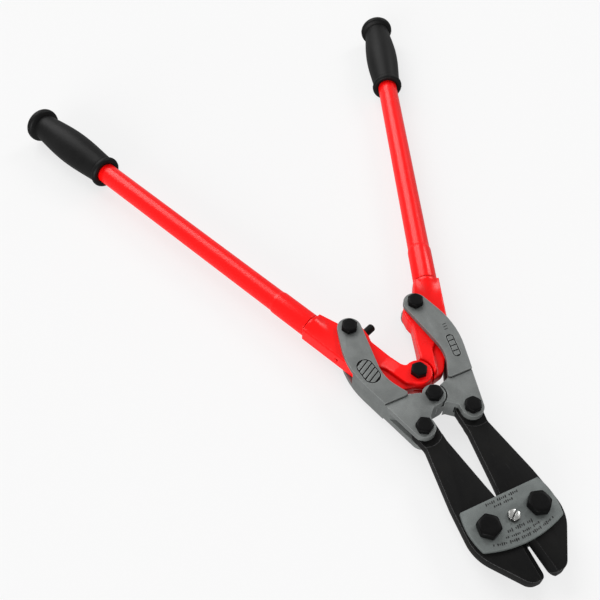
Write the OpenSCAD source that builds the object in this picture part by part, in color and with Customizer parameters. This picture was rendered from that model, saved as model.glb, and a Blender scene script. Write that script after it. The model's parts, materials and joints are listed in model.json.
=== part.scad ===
// Double-compound bolt cutters, lying flat with the jaws a little open.
// X runs across the tool, +Y from the jaws to the grips, +Z up. Millimetres.

/* [Jaws] */
// Half the distance between the two blade pivots
pivot_half = 29.2; // [24:0.1:36]
// From a blade pivot to the pivot at its tail
tail_len = 122; // [100:1:150]
// Angle of the tail pivot off the tool's axis when the jaws are shut
tail_splay = 2.68; // [2.2:0.01:3.3]
// Opening of each jaw as the tool lies
jaw_open = 2.4; // [0.5:0.1:4]
// From the blade pivots to the tip of the jaws
jaw_reach = 62; // [50:1:74]
// Thickness of a blade
blade_t = 12.5; // [10:0.1:16]
// Width of the ground bevel beside the cutting edge
bevel_w = 6.8; // [4:0.1:9]
// Thickness of a blade's tail, inside the link
tail_t = 10.9; // [8:0.1:12]
// Thickness of a cover plate
plate_t = 4.8; // [3:0.1:7]

/* [Links] */
// From the pivot that joins the links to the blade's tail pivot
link_short = 42.4; // [38:0.1:50]
// From the pivot that joins the links to the handle's pivot
link_long = 124.2; // [103:0.1:150]
// Angle between those two arms of a link
link_angle = 115; // [110:0.5:118]
// Height of a link at the blade end
link_low = 27; // [24:0.1:32]
// Height of a link at the handle end
link_high = 32; // [30:0.1:38]
// Height of the slot that takes the handle casting
fork_gap = 20; // [16:0.1:22]

/* [Handles] */
// From the pivot that joins the handles to the link's pivot
arm_len = 94.2; // [84:0.1:114]
// Angle between that arm and the handle tube
arm_lead = 5.55; // [3:0.05:8]
// From the handles' pivot to the axis of the tube
tube_offset = 29.2; // [25:0.1:35]
// Outer diameter of the handle tube
tube_d = 27; // [22:0.1:33]
// Wall of the handle tube
tube_wall = 2.3; // [1.5:0.1:3]
// From the handles' pivot to the middle of the grip's end flange, along the tube
handle_reach = 658; // [548:1:790]
// Length of the grip
grip_len = 152; // [120:1:185]
// Diameter of the grip's end flange
flange_d = 48; // [45:0.5:58]
// How far the rubber stop stands out of its pad
stop_reach = 15.4; // [8:0.1:16]

/* [Bolts] */
// Diameter of the two blade bolts
blade_bolt_d = 14; // [11:0.1:17]
// Width across flats of the blade bolts' heads and nuts
blade_hex = 22; // [18:0.5:26.5]
// Diameter of the link and handle bolts
link_bolt_d = 10; // [8.3:0.1:12]
// Width across flats of their heads and nuts
link_hex = 17; // [15:0.1:20.4]
// Diameter of the centre screw
screw_d = 6.4; // [5:0.1:7.7]

/* [Fits] */
// Radial clearance of a bolt in its hole
fit = 0.05; // [0.02:0.01:0.1]
// Gap between faces that slide on each other
slide = 0.1; // [0.05:0.01:0.2]
// Gap around a swinging lug
swing = 0.6; // [0.4:0.1:1]
// Room round the link pivot bolt in the right link's tongue
link_slack = 1.4; // [1.2:0.1:1.6]
// Room round the handle pivot bolt in the right casting's lug
handle_slack = 2.2; // [2:0.1:2.3]

/* [Hidden] */

$fn = 96;
arc_step = 5;        // degrees between the points of a rounded corner
over = 1;            // how far a cutter runs past the face it opens
far = 400;           // longer than anything that a cutter crosses

// Colours
red = "red";
cast_grey = [0.46, 0.48, 0.47];
blade_black = [0.11, 0.11, 0.11];
bolt_black = [0.06, 0.06, 0.06];
rubber_black = [0.16, 0.16, 0.16];
zinc = [0.75, 0.76, 0.74];

// Blade details
blade_bolt_r = blade_bolt_d / 2;
link_bolt_r = link_bolt_d / 2;
edge_land = 0.8;                    // height of the blunt land on the cutting edge
nose_r = 8;                         // round at the inner corner of a jaw's tip
tail_r = 11.5;                      // round end of the tail
tail_corner = [-15.6, 9];           // inner corner of the tail, from its pivot
tail_step_r = 20;                   // where the tail gets thinner, round its pivot
bevel_back = -22;                   // where the bevel ends, under the plates

// Cover plate details
plate_in = blade_t / 2 + slide;     // inner face of a plate
plate_out = plate_in + plate_t;
plate_half = pivot_half + 20.3;     // half width
plate_rear = 25.3;                  // straight rear edge
plate_front = 27;                   // reach of the front arc
plate_front_r = 129;
plate_side_r = 68;
plate_side_y = 3;                   // height of the side arcs' centres

// Heads and nuts
blade_head_h = 8.8;
blade_nut_h = 11;
link_head_h = 6.4;
link_nut_h = 7;
bolt_proud = 0.8;                   // how far a bolt's end stands out of its nut
screw_hex = 11;
screw_head_h = 4.2;
screw_slot = 1.6;
screw_turn = 35;                    // which way the screw's slot points
spacer_r = 5;
notch_room = 0.5;                   // between the spacer and the hollow in each heel
heel_drift = pivot_half * sin(jaw_open);    // how far a heel has rolled past the spacer

// Link details
low_z = link_low / 2;
high_z = link_high / 2;
fork_z = fork_gap / 2;
tail_gap_z = tail_t / 2 + slide;    // half height of the slot for the blade's tail
link_end_r = 12.6;                  // round the tail pivot
link_hub_r = 12.8;                  // round the pivot that joins the links
link_top_r = 13.8;                  // round the handle pivot
link_room = 1.7;                    // from the left link's lugs to the right link's shoulder
link_set = 45.35;                   // drawn angle of the short arm below the X axis
link_step = 11;                     // from the link pivot to the step between the two heights
tongue_z = tail_t / 2;              // half height of the right link's tongue
step_groove = [1, 1.1, 1.2];        // sideways, lengthways and deep, at the foot of that step
badge_deep = 0.8;
badge_groove = 1.3;
badge_left = [7.6, -61.5];          // middle of the left badge, from the handle pivot
badge_right = [8.5, -71];

// Casting details
web_z = fork_z - 2 * slide;         // half height of the flat web
ledge_z = 6.5;                      // half height of the low ledge
crown_z = 12.8;                     // half height of the crown at the handles' pivot
lug_r = 15.6;                       // crown round the handles' pivot
hub_r = 16.8;                       // ledge round the handles' pivot
socket_r = tube_d / 2 + 1.8;        // shoulder that the tube butts on
socket_end = 135;                   // where the tube starts, along the tube's axis
socket_nose = 104;                  // where the socket starts to rise out of the web
socket_full = 129;                  // where it has its full size
arm_end_r = 12.5;                   // round the link's pivot
spigot_len = 58;
pad_w = 82;                         // height of the stop along the tube's direction
bumper_r = 4.8;
bumper_lip = 2;                     // round on the stop's tip
stem_r = 2.3;

// Tube and grip details
swell_r = tube_d / 2 + 1;           // the widened end of the tube
swell_end = socket_end + 50;
swell_taper = 5;
bore_step = 1;                      // from the spigot's end to where the tube's bore narrows
bore_taper = 2;
tube_end_gap = 10;                  // the tube stops this far short of the flange
collar_len = 10;
collar_r = tube_d / 2 + 8;
collar_lip = 3;                     // round on the collar
grip_waist = tube_d / 2 + 5.8;      // the grip's slimmest radius
grip_swell = 4;                     // how much it swells in the middle
flange_lip = 5;                     // round on the flange's rim
flange_neck = 16;                   // fillet between flange and body

// Pose, solved from the pivots outwards
tail_lean = tail_splay - jaw_open;
tail_at = [pivot_half + tail_len * sin(tail_lean), tail_len * cos(tail_lean)];
link_drop = acos(tail_at[0] / link_short);
link_y = tail_at[1] + link_short * sin(link_drop);
arm_at = [0, link_y] + link_long * [cos(link_angle - link_drop), sin(link_angle - link_drop)];
arm_lean = asin(arm_at[0] / arm_len);
handle_lean = arm_lean - arm_lead;
handle_y = arm_at[1] - arm_len * cos(arm_lean);

// The same pivots in each piece's own drawing
tail_pivot = [pivot_half + tail_len * sin(tail_splay), tail_len * cos(tail_splay)];
link_c = link_short * [cos(link_set), -sin(link_set)];
link_f = link_long * [cos(link_angle - link_set), sin(link_angle - link_set)];
arm_f = arm_len * [sin(arm_lead), cos(arm_lead)];

// Frame: the box is centred in X and Y, and the lowest face is at Z = 0
nose_y = -(pivot_half - nose_r) * sin(jaw_open) - (jaw_reach - nose_r) * cos(jaw_open) - nose_r;
rim_y = handle_y + handle_reach * cos(handle_lean) + flange_lip
    - (tube_offset - flange_d / 2 + flange_lip) * sin(handle_lean);
shift_y = -(nose_y + rim_y) / 2;
floor_z = flange_d / 2;

// ---------- outline helpers ----------

function unit(v) = v / norm(v);
function turn(a) = (a + 540) % 360 - 180;

// The points of a corner c, between its neighbours p and q, rounded to radius r
function rounded(p, c, q, r) = r == 0 ? [c] :
    let (a = unit(p - c), b = unit(q - c), half = acos(a * b) / 2)
    let (m = c + unit(a + b) * r / sin(half), s = c + a * r / tan(half) - m)
    let (e = c + b * r / tan(half) - m, a0 = atan2(s[1], s[0]))
    let (sweep = turn(atan2(e[1], e[0]) - a0), n = max(2, ceil(abs(sweep) / arc_step)))
    [for (i = [0:n]) m + r * [cos(a0 + sweep * i / n), sin(a0 + sweep * i / n)]];

// An outline from corners given as [point, radius]
function outline(c) = let (n = len(c))
    [for (i = [0:n - 1], p = rounded(c[(i + n - 1) % n][0], c[i][0], c[(i + 1) % n][0], c[i][1])) p];

module shape(corners) polygon(outline(corners));

// A flat piece between two heights
module slab(z0, z1) translate([0, 0, z0]) linear_extrude(z1 - z0) children();

// A flat piece, the same height above and below the middle plane
module plate(half) slab(-half, half) children();

// A slot-shaped outline with round ends
module stadium(len, r) shape([[[-len / 2, -r], r * 0.99], [[len / 2, -r], r * 0.99],
    [[len / 2, r], r * 0.99], [[-len / 2, r], r * 0.99]]);

// A hexagon head or nut, turned by a degrees
module hex(flats, h, a = 0) rotate(a) cylinder(h = h, d = flats / cos(30), $fn = 6);

// A round hole through everything at a point
module bore(at, r) translate([at[0], at[1], -far / 2]) cylinder(h = far, r = r);

// ---------- places ----------

module stand() translate([0, shift_y, floor_z]) children();
module both(side) if (side > 0) children(); else mirror([1, 0, 0]) children();
module at_blade(side) stand() both(side)
    translate([pivot_half, 0, 0]) rotate(jaw_open) translate([-pivot_half, 0, 0]) children();
module at_link(side) stand() both(side)
    translate([0, link_y, 0]) rotate(link_set - link_drop) children();
module at_handle(side) stand() both(side)
    translate([0, handle_y, 0]) rotate(-handle_lean) children();
module on_tube(w) translate([tube_offset, w, 0]) rotate([-90, 0, 0]) children();

// ---------- bolts ----------

// A bolt whose head sits on the height z, and which runs down to z - grip and through its nut
module bolt(z, grip, r, flats, head_h, nut_h, a = 0) {
    translate([0, 0, z]) hex(flats, head_h, a);
    translate([0, 0, z - grip - nut_h - bolt_proud])
        cylinder(h = grip + nut_h + bolt_proud + over, r = r);
}

// A nut whose top face is at the height z
module nut(z, r, flats, h) difference() {
    translate([0, 0, z - h]) hex(flats, h);
    translate([0, 0, z - h - over]) cylinder(h = h + 2 * over, r = r + fit);
}

module small_bolt(z, a) bolt(z, 2 * z, link_bolt_r, link_hex, link_head_h, link_nut_h, a);
module small_nut(z) nut(-z, link_bolt_r, link_hex, link_nut_h);

// ---------- cover plates ----------

module plate_outline() intersection() {
    translate([0, plate_front_r - plate_front]) circle(plate_front_r, $fn = 360);
    translate([plate_half - plate_side_r, plate_side_y]) circle(plate_side_r, $fn = 180);
    translate([plate_side_r - plate_half, plate_side_y]) circle(plate_side_r, $fn = 180);
    translate([-far / 2, -far / 2]) square([far, far / 2 + plate_rear]);
}

module cover_plate(z0, z1) color(cast_grey) stand() difference() {
    slab(z0, z1) plate_outline();
    for (s = [-1, 1]) bore([s * pivot_half, 0], blade_bolt_r + fit);
    bore([0, 0], screw_d / 2 + fit);
}

module cover_plate_top() cover_plate(plate_in, plate_out);
module cover_plate_bottom() cover_plate(-plate_out, -plate_in);

// The two blade bolts reach down to the height that the grips rest on
module blade_bolts() color(bolt_black) stand() for (s = [-1, 1]) translate([s * pivot_half, 0, 0]) {
    translate([0, 0, plate_out]) hex(blade_hex, blade_head_h, s < 0 ? 19 : 43);
    translate([0, 0, -floor_z]) cylinder(h = plate_out + floor_z + over, r = blade_bolt_r);
}

module blade_nuts() color(bolt_black) stand() for (s = [-1, 1]) translate([s * pivot_half, 0, 0])
    nut(-plate_out, blade_bolt_r, blade_hex, blade_nut_h);

module centre_screw() color(zinc) stand() difference() {
    bolt(plate_out, 2 * plate_out, screw_d / 2, screw_hex, screw_head_h, screw_head_h);
    translate([0, 0, plate_out + screw_head_h]) rotate(screw_turn)
        cube([2 * screw_hex, screw_slot, screw_head_h], center = true);
}

module centre_nut() color(zinc) stand() nut(-plate_out, screw_d / 2, screw_hex, screw_head_h);

module centre_spacer() color(zinc) stand() difference() {
    translate([0, 0, -plate_in]) cylinder(h = 2 * plate_in, r = spacer_r);
    bore([0, 0], screw_d / 2 + fit);
}

// ---------- blades ----------

// Drawn shut, with the cutting edge on the tool's axis
module blade_outline() {
    heel_r = pivot_half - slide / 2;
    difference() {
        shape([
            [[slide / 2, 0], 0],
            [[slide / 2, -jaw_reach], nose_r],
            [[17.5, -jaw_reach], 13],
            [[pivot_half + 23.5, -17], 45],
            [[pivot_half + 20.8, 35], 60],
            [tail_pivot + [7.3, -20], 6],
            [tail_pivot + [tail_r, -2], 0],
            [tail_pivot + [0, tail_r], 0],
            [tail_pivot + tail_corner, 4],
            [tail_pivot + [-16.9, -20], 0],
            [[7.2, 43], 30],
            [[4.2, 28], 8],
            [[3.6, 14], 0],
            [[3.6, 0], 0]
        ]);
        // Clear of the other heel
        translate([-2 * far, 0]) square([2 * far, far]);
    }
    translate(tail_pivot) circle(tail_r);
    // Round heel, so that the blades roll past each other
    intersection() {
        translate([pivot_half, 0]) circle(heel_r);
        square([pivot_half, 14]);
    }
}

module blade() color(blade_black) difference() {
    plate(blade_t / 2) blade_outline();
    // Bevels on both faces, which leave a thin land along the edge
    for (s = [0, 1]) mirror([0, 0, s]) translate([0, bevel_back, 0]) rotate([90, 0, 0])
        linear_extrude(far) polygon([[-over, edge_land / 2], [slide / 2, edge_land / 2],
            [bevel_w, blade_t / 2], [bevel_w, blade_t], [-over, blade_t]]);
    // Thin tail, stepped down round its pivot
    for (s = [0, 1]) mirror([0, 0, s]) translate([tail_pivot[0], tail_pivot[1], tail_t / 2])
        cylinder(h = blade_t, r = tail_step_r);
    bore([pivot_half, 0], blade_bolt_r + fit);
    bore([0, heel_drift], spacer_r + heel_drift + notch_room);
    bore(tail_pivot, link_bolt_r + fit);
}

module blade_left() at_blade(-1) blade();
module blade_right() at_blade(1) blade();

// ---------- links ----------

// Drawn about the pivot that joins the links
module link_outline() {
    shape([
        [link_c + link_end_r * [cos(16), -sin(16)], 0],
        [link_f + [27.9, -46.9], 105],
        [link_f + link_top_r * [cos(16), sin(16)], 0],
        [link_f + link_top_r * [-cos(8), -sin(8)], 0],
        [link_f + [-3.3, -75.1], 50],
        [[24.5, link_step + 0.8], 2],
        [[12.5, 7.8], 0],
        [[0, 0], 0],
        [[0, -link_hub_r], 0],
        [[9, -link_hub_r - 1.2], 3],
        [link_c + [-12.2, 8.6], 4],
        [link_c + [-12.2, 0], 0],
        [link_c, 0]
    ]);
    circle(link_hub_r);
    translate(link_c) circle(link_end_r);
    translate(link_f) circle(link_top_r);
}

// The slot that takes the handle casting, open above the line that its ledge sweeps
module fork_outline() polygon([
    link_f + [30, -54.6],
    link_f + [22.8, -54.6],
    link_f + [0.8, -84.6],
    link_f + [-8.2, -98.6],
    [17.2, link_step + 0.2],
    [-30, link_step + 0.2],
    link_f + [-60, 40],
    link_f + [60, 40]
]);

// The slot that takes the blade's tail: open below a line across the link, and round the tail's corner
module tail_slot_outline() {
    polygon([
        link_c + [40, 44.5],
        link_c + [-12.8, 10],
        link_c + [-20, -40],
        link_c + [40, -40]
    ]);
    translate(link_c) circle(norm(tail_corner) + swing);
}

// The part of a link that has its full height
module high_zone() shape([
    [[far, link_step], 0],
    [[26.5, link_step], 4],
    [[22, link_step + 12], 0],
    [[22, far], 0],
    [[far, far], 0]
]);

module link_body() difference() {
    union() {
        plate(low_z) link_outline();
        plate(high_z) intersection() {
            link_outline();
            high_zone();
        }
    }
    // Groove at the foot of the step, on both faces
    for (s = [0, 1]) mirror([0, 0, s]) slab(low_z - step_groove[2], high_z + over) difference() {
        translate([-step_groove[0], -step_groove[1]]) high_zone();
        high_zone();
    }
    plate(fork_z) fork_outline();
    plate(tail_gap_z) tail_slot_outline();
    bore(link_c, link_bolt_r + fit);
    bore(link_f, link_bolt_r + fit);
}

// A sunk slot-shaped field, with slanted bars left standing in it
module badge(len, r, bars, bar_w, lean) {
    pitch = (len - 2 * badge_groove) / bars;
    difference() {
        stadium(len, r);
        intersection() {
            stadium(len - 2 * badge_groove, r - badge_groove);
            for (i = [0:bars - 1]) translate([(i - (bars - 1) / 2) * pitch, 0]) rotate(lean)
                square([bar_w, 4 * r], center = true);
        }
    }
}

module link_left() color(cast_grey) at_link(-1) difference() {
    link_body();
    // Fork for the right link's tongue
    plate(tongue_z + slide) circle(link_hub_r + swing);
    bore([0, 0], link_bolt_r + fit);
    slab(high_z - badge_deep, high_z + over) translate(link_f + badge_left) rotate(84)
        badge(33, 10, 5, 3.9, -24);
}

module link_right() color(cast_grey) at_link(1) difference() {
    link_body();
    // Tongue between the left link's lugs
    for (s = [0, 1]) mirror([0, 0, s]) slab(tongue_z, far / 2) circle(link_hub_r + link_room);
    bore([0, 0], link_bolt_r + link_slack);
    slab(high_z - badge_deep, high_z + over) translate(link_f + badge_right) rotate(79)
        badge(31, 4.6, 4, 5.4, 12);
}

// The turn of each bolt's head comes last
module on_link(side, at) at_link(side) translate([at[0], at[1], 0]) children();

module tail_bolt_left() color(bolt_black) on_link(-1, link_c) small_bolt(low_z, 28);
module tail_bolt_right() color(bolt_black) on_link(1, link_c) small_bolt(low_z, 2);
module tail_nut_left() color(bolt_black) on_link(-1, link_c) small_nut(low_z);
module tail_nut_right() color(bolt_black) on_link(1, link_c) small_nut(low_z);
module link_pivot_bolt() color(bolt_black) on_link(-1, [0, 0]) small_bolt(low_z, 30);
module link_pivot_nut() color(bolt_black) on_link(-1, [0, 0]) small_nut(low_z);
module handle_bolt_left() color(bolt_black) on_link(-1, link_f) small_bolt(high_z, 57);
module handle_bolt_right() color(bolt_black) on_link(1, link_f) small_bolt(high_z, 5);
module handle_nut_left() color(bolt_black) on_link(-1, link_f) small_nut(high_z);
module handle_nut_right() color(bolt_black) on_link(1, link_f) small_nut(high_z);

// ---------- handle castings ----------

// Drawn about the handles' pivot, with the tube's axis along Y
pad_u = -4.2;                       // face of the stop's pad at the stop's height
arm_out = tube_offset + socket_r;   // straight outer edge

// Corners of the arm above the ledge, which the web and the ledge share
upper_corners = [
    [[arm_out, socket_end], 0],
    [[tube_offset - socket_r, socket_end], 0],
    [arm_f + [0.4, 17.3], 8],
    [arm_f, 0],
    [[pad_u - 1.8, pad_w + 7], 2],
    [[pad_u + 2.3, pad_w - 8.5], 1.5],
    [[2.6, 66], 4],
    [[4.8, 22], 6],
    [[0, 12], 0],
    [[0, 0], 0]
];

module ledge_outline() {
    shape(concat([
        [[4, -16], 0],
        [[29, 2], 12],
        [[33, 18], 30],
        [[arm_out, 58], 8]
    ], upper_corners));
    translate(arm_f) circle(arm_end_r);
    circle(hub_r);
}

module web_outline() {
    shape(concat([
        [[8, -13], 0],
        [[20.6, 1], 8],
        [[20.6, 29], 6],
        [[25, 41], 4],
        [[arm_out, 49], 0]
    ], upper_corners));
    translate(arm_f) circle(arm_end_r);
    circle(lug_r);
}

// The crown at the pivot slopes down to the web along the arm
module crown() intersection() {
    plate(crown_z) {
        shape([[[8, -13], 0], [[20.6, 1], 8], [[20.6, 45], 0], [[3.6, 45], 0], [[4.8, 20], 6],
            [[0, 12], 0], [[0, 0], 0]]);
        circle(lug_r);
    }
    translate([-far / 2, 0, 0]) rotate([90, 0, 90]) linear_extrude(far) polygon([
        [-30, -crown_z], [20, -crown_z], [38, -web_z], [38, web_z], [20, crown_z], [-30, crown_z]]);
}

// A casting, with its half of the lap on the side lap = 1 (top) or -1 (bottom)
module casting(lap, hole_r) difference() {
    union() {
        plate(ledge_z) ledge_outline();
        plate(web_z) web_outline();
        crown();
        on_tube(socket_nose) cylinder(h = socket_full - socket_nose, r1 = web_z, r2 = socket_r);
        on_tube(socket_full) cylinder(h = socket_end - socket_full, r = socket_r);
        on_tube(socket_end - over) cylinder(h = spigot_len + over, r = swell_r - tube_wall - fit);
    }
    // Half lap at the handles' pivot
    mirror([0, 0, lap > 0 ? 0 : 1]) slab(-far / 2, slide / 2) circle(hub_r + swing);
    bore([0, 0], hole_r);
    bore(arm_f, link_bolt_r + fit);
}

module stem_hole() translate([pad_u - 2 * bumper_r, pad_w, 0]) rotate([0, 90, 0])
    cylinder(h = far, r = stem_r + fit);

module handle_casting_left() color(red) at_handle(-1) difference() {
    casting(1, link_bolt_r + fit);
    stem_hole();
}

module handle_casting_right() color(red) at_handle(1) casting(-1, link_bolt_r + handle_slack);

module handle_pivot_bolt() color(bolt_black) at_handle(-1) small_bolt(crown_z, 54);
module handle_pivot_nut() color(bolt_black) at_handle(-1) small_nut(crown_z);

// Rubber stop with a stem that fills the hole in the left casting
module stop_bumper() color(bolt_black) at_handle(-1) translate([0, pad_w, 0]) rotate([0, 90, 0]) {
    tip = pad_u - stop_reach;
    base = pad_u - 1.2;
    rotate_extrude() shape([
        [[0, tip], 0],
        [[bumper_r, tip], bumper_lip],
        [[bumper_r, base], 0],
        [[0, base], 0]
    ]);
    translate([0, 0, base - over]) cylinder(h = arm_out - base - over, r = stem_r);
}

// ---------- tubes and grips ----------

module tube() color(red) on_tube(0) rotate_extrude() {
    end = handle_reach - tube_end_gap;
    polygon([
        [swell_r - tube_wall, socket_end], [swell_r, socket_end],
        [swell_r, swell_end], [tube_d / 2, swell_end + swell_taper],
        [tube_d / 2, end], [tube_d / 2 - tube_wall, end],
        [tube_d / 2 - tube_wall, socket_end + spigot_len + bore_step + bore_taper],
        [swell_r - tube_wall, socket_end + spigot_len + bore_step]
    ]);
}

module handle_tube_left() at_handle(-1) tube();
module handle_tube_right() at_handle(1) tube();

// Radius of the grip's body between the collar (t = 0) and the flange (t = 1)
function grip_r(t) = grip_waist + grip_swell * pow(sin(180 * t), 1.3);

module grip() color(rubber_black) on_tube(0) {
    w0 = handle_reach + flange_lip - grip_len;
    body_0 = w0 + collar_len;
    body_1 = handle_reach - flange_lip - flange_neck / 2;
    steps = 24;
    rim = flange_d / 2 - flange_lip;
    rotate_extrude() difference() {
        polygon(concat(
            [[0, w0], [collar_r - collar_lip, w0]],
            [for (a = [-90:15:90]) [collar_r - collar_lip + collar_lip * cos(a),
                w0 + collar_len / 2 + (collar_len / 2) * sin(a)]],
            [for (i = [0:steps]) [grip_r(i / steps), body_0 + (body_1 - body_0) * i / steps]],
            [for (a = [-60:15:90]) [rim + flange_lip * cos(a), handle_reach + flange_lip * sin(a)]],
            [[0, handle_reach + flange_lip]]
        ));
        translate([0, w0 - over])
            square([tube_d / 2 + fit, handle_reach - tube_end_gap + fit - w0 + over]);
    }
}

module grip_left() at_handle(-1) grip();
module grip_right() at_handle(1) grip();

// ---------- every piece ----------

cover_plate_top();
cover_plate_bottom();
blade_bolts();
blade_nuts();
centre_screw();
centre_nut();
centre_spacer();
blade_left();
blade_right();
link_left();
link_right();
tail_bolt_left();
tail_bolt_right();
tail_nut_left();
tail_nut_right();
link_pivot_bolt();
link_pivot_nut();
handle_casting_left();
handle_casting_right();
handle_tube_left();
handle_tube_right();
grip_left();
grip_right();
handle_pivot_bolt();
handle_pivot_nut();
handle_bolt_left();
handle_bolt_right();
handle_nut_left();
handle_nut_right();
stop_bumper();
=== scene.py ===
"""Bolt cutters: the finished look of every piece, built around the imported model.

The mechanism comes from the frame and is never moved. Castings, links, blades, cover plates and the screw
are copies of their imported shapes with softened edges. The screw's nut and spacer are shown as packed. The
other pieces are surfaces worked out here. All is in metres.
"""

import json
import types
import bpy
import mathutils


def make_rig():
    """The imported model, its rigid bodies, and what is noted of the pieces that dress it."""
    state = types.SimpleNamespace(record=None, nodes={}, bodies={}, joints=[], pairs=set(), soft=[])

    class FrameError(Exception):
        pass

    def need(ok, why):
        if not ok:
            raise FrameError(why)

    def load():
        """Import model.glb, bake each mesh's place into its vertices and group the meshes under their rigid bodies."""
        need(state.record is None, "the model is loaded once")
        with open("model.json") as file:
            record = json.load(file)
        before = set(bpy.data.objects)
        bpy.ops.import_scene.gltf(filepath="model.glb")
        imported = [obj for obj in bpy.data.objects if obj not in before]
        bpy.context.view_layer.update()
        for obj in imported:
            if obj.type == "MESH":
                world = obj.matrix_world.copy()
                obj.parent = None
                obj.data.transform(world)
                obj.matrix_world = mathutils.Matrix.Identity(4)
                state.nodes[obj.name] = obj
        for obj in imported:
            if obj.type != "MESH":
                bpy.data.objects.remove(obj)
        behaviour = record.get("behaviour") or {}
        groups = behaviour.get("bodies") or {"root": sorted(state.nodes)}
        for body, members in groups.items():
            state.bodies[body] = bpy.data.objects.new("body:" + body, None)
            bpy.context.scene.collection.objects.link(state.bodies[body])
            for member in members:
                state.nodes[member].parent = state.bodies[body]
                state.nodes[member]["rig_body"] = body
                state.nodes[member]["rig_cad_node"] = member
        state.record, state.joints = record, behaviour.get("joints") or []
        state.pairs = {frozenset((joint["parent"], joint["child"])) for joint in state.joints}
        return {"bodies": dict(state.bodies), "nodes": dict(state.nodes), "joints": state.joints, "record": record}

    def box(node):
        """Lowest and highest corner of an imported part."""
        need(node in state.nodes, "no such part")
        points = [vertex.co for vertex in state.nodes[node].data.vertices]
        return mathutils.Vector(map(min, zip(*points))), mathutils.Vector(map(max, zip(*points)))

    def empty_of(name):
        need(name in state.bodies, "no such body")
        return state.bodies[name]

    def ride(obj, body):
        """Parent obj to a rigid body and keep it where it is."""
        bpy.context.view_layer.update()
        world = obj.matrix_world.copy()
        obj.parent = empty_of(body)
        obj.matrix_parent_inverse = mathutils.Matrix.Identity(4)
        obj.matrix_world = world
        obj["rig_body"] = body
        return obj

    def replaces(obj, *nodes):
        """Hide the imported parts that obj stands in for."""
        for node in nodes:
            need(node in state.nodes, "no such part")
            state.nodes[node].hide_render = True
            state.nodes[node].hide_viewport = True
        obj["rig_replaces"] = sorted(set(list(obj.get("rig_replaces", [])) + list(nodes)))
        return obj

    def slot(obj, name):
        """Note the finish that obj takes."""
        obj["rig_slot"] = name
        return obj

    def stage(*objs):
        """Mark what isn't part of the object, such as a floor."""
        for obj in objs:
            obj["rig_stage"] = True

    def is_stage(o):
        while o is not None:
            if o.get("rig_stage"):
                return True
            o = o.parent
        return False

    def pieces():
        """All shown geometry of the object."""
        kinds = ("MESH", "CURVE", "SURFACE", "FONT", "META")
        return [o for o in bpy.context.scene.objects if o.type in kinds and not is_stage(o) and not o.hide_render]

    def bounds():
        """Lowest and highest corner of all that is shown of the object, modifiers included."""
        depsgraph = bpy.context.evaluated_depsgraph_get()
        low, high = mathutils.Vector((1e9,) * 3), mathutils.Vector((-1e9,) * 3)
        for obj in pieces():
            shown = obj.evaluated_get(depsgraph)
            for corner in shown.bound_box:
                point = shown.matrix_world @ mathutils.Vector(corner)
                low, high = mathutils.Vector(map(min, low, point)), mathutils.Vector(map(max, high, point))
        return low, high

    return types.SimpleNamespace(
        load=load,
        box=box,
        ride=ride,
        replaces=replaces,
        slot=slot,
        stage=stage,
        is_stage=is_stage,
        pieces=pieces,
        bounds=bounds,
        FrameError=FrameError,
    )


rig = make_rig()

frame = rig.load()

import json
import logging
import math
from dataclasses import dataclass, field
from enum import Enum
from typing import Any

import bmesh
import bpy
import numpy as np
from mathutils import Vector

MM = 0.001
FULL_TURN = 2 * math.pi
SIZE_FILE = "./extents.json"
LEVEL = np.array([1.0, 1.0, 0.0])
UP = np.array([0.0, 0.0, 1.0])
Colour = tuple[float, float, float]
Piece = bpy.types.Object

log = logging.getLogger("bolt_cutters")


class Side(Enum):
    """The two halves of the tool, by the sign of their X."""

    LEFT = -1
    RIGHT = 1

    def node(self, stem: str) -> str:
        """The name of this side's copy of a node or body."""
        return f"{stem}_{self.name.lower()}"


class Slot(Enum):
    """The material slots of the record."""

    RED = "red_enamel"
    GRIP = "grip_rubber"
    CAST = "cast_grey"
    PLATE = "plate_grey"
    BLADE = "blade_black"
    BOLT = "black_bolt"
    ZINC = "zinc"
    STOP = "stop_rubber"


# ---------- shader maths ----------


class Shade:
    """A number that varies over a surface. Each operator adds the Math node that does it."""

    def __init__(self, recipe: "Recipe", socket: bpy.types.NodeSocket) -> None:
        """Wraps an output socket of a recipe's node."""
        self.recipe = recipe
        self.socket = socket

    def _math(self, operation: str, first: Any, second: Any) -> "Shade":
        """Adds one Math node.

        Args:
            operation: The node's operation.
            first: A Shade or a number.
            second: A Shade or a number.

        Returns:
            The node's result.
        """
        made = self.recipe.node("ShaderNodeMath", {"operation": operation}, {0: first, 1: second})
        return Shade(self.recipe, made.outputs[0])

    def __add__(self, other: Any) -> "Shade":
        """self + other."""
        return self._math("ADD", self, other)

    def __radd__(self, other: Any) -> "Shade":
        """other + self."""
        return self._math("ADD", other, self)

    def __sub__(self, other: Any) -> "Shade":
        """self - other."""
        return self._math("SUBTRACT", self, other)

    def __rsub__(self, other: Any) -> "Shade":
        """other - self."""
        return self._math("SUBTRACT", other, self)

    def __mul__(self, other: Any) -> "Shade":
        """self * other."""
        return self._math("MULTIPLY", self, other)

    def __rmul__(self, other: Any) -> "Shade":
        """other * self."""
        return self._math("MULTIPLY", other, self)

    def size(self) -> "Shade":
        """The value without its sign."""
        return self._math("ABSOLUTE", self, 0.0)

    def between(self, low: float, high: float) -> "Shade":
        """Rises smoothly from 0 at low to 1 at high.

        Args:
            low: Where the rise starts.
            high: Where it ends.

        Returns:
            The eased and clamped value.
        """
        made = self.recipe.node(
            "ShaderNodeMapRange",
            {"interpolation_type": "SMOOTHSTEP"},
            {"Value": self, "From Min": low, "From Max": high},
        )
        return Shade(self.recipe, made.outputs["Result"])


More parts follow.
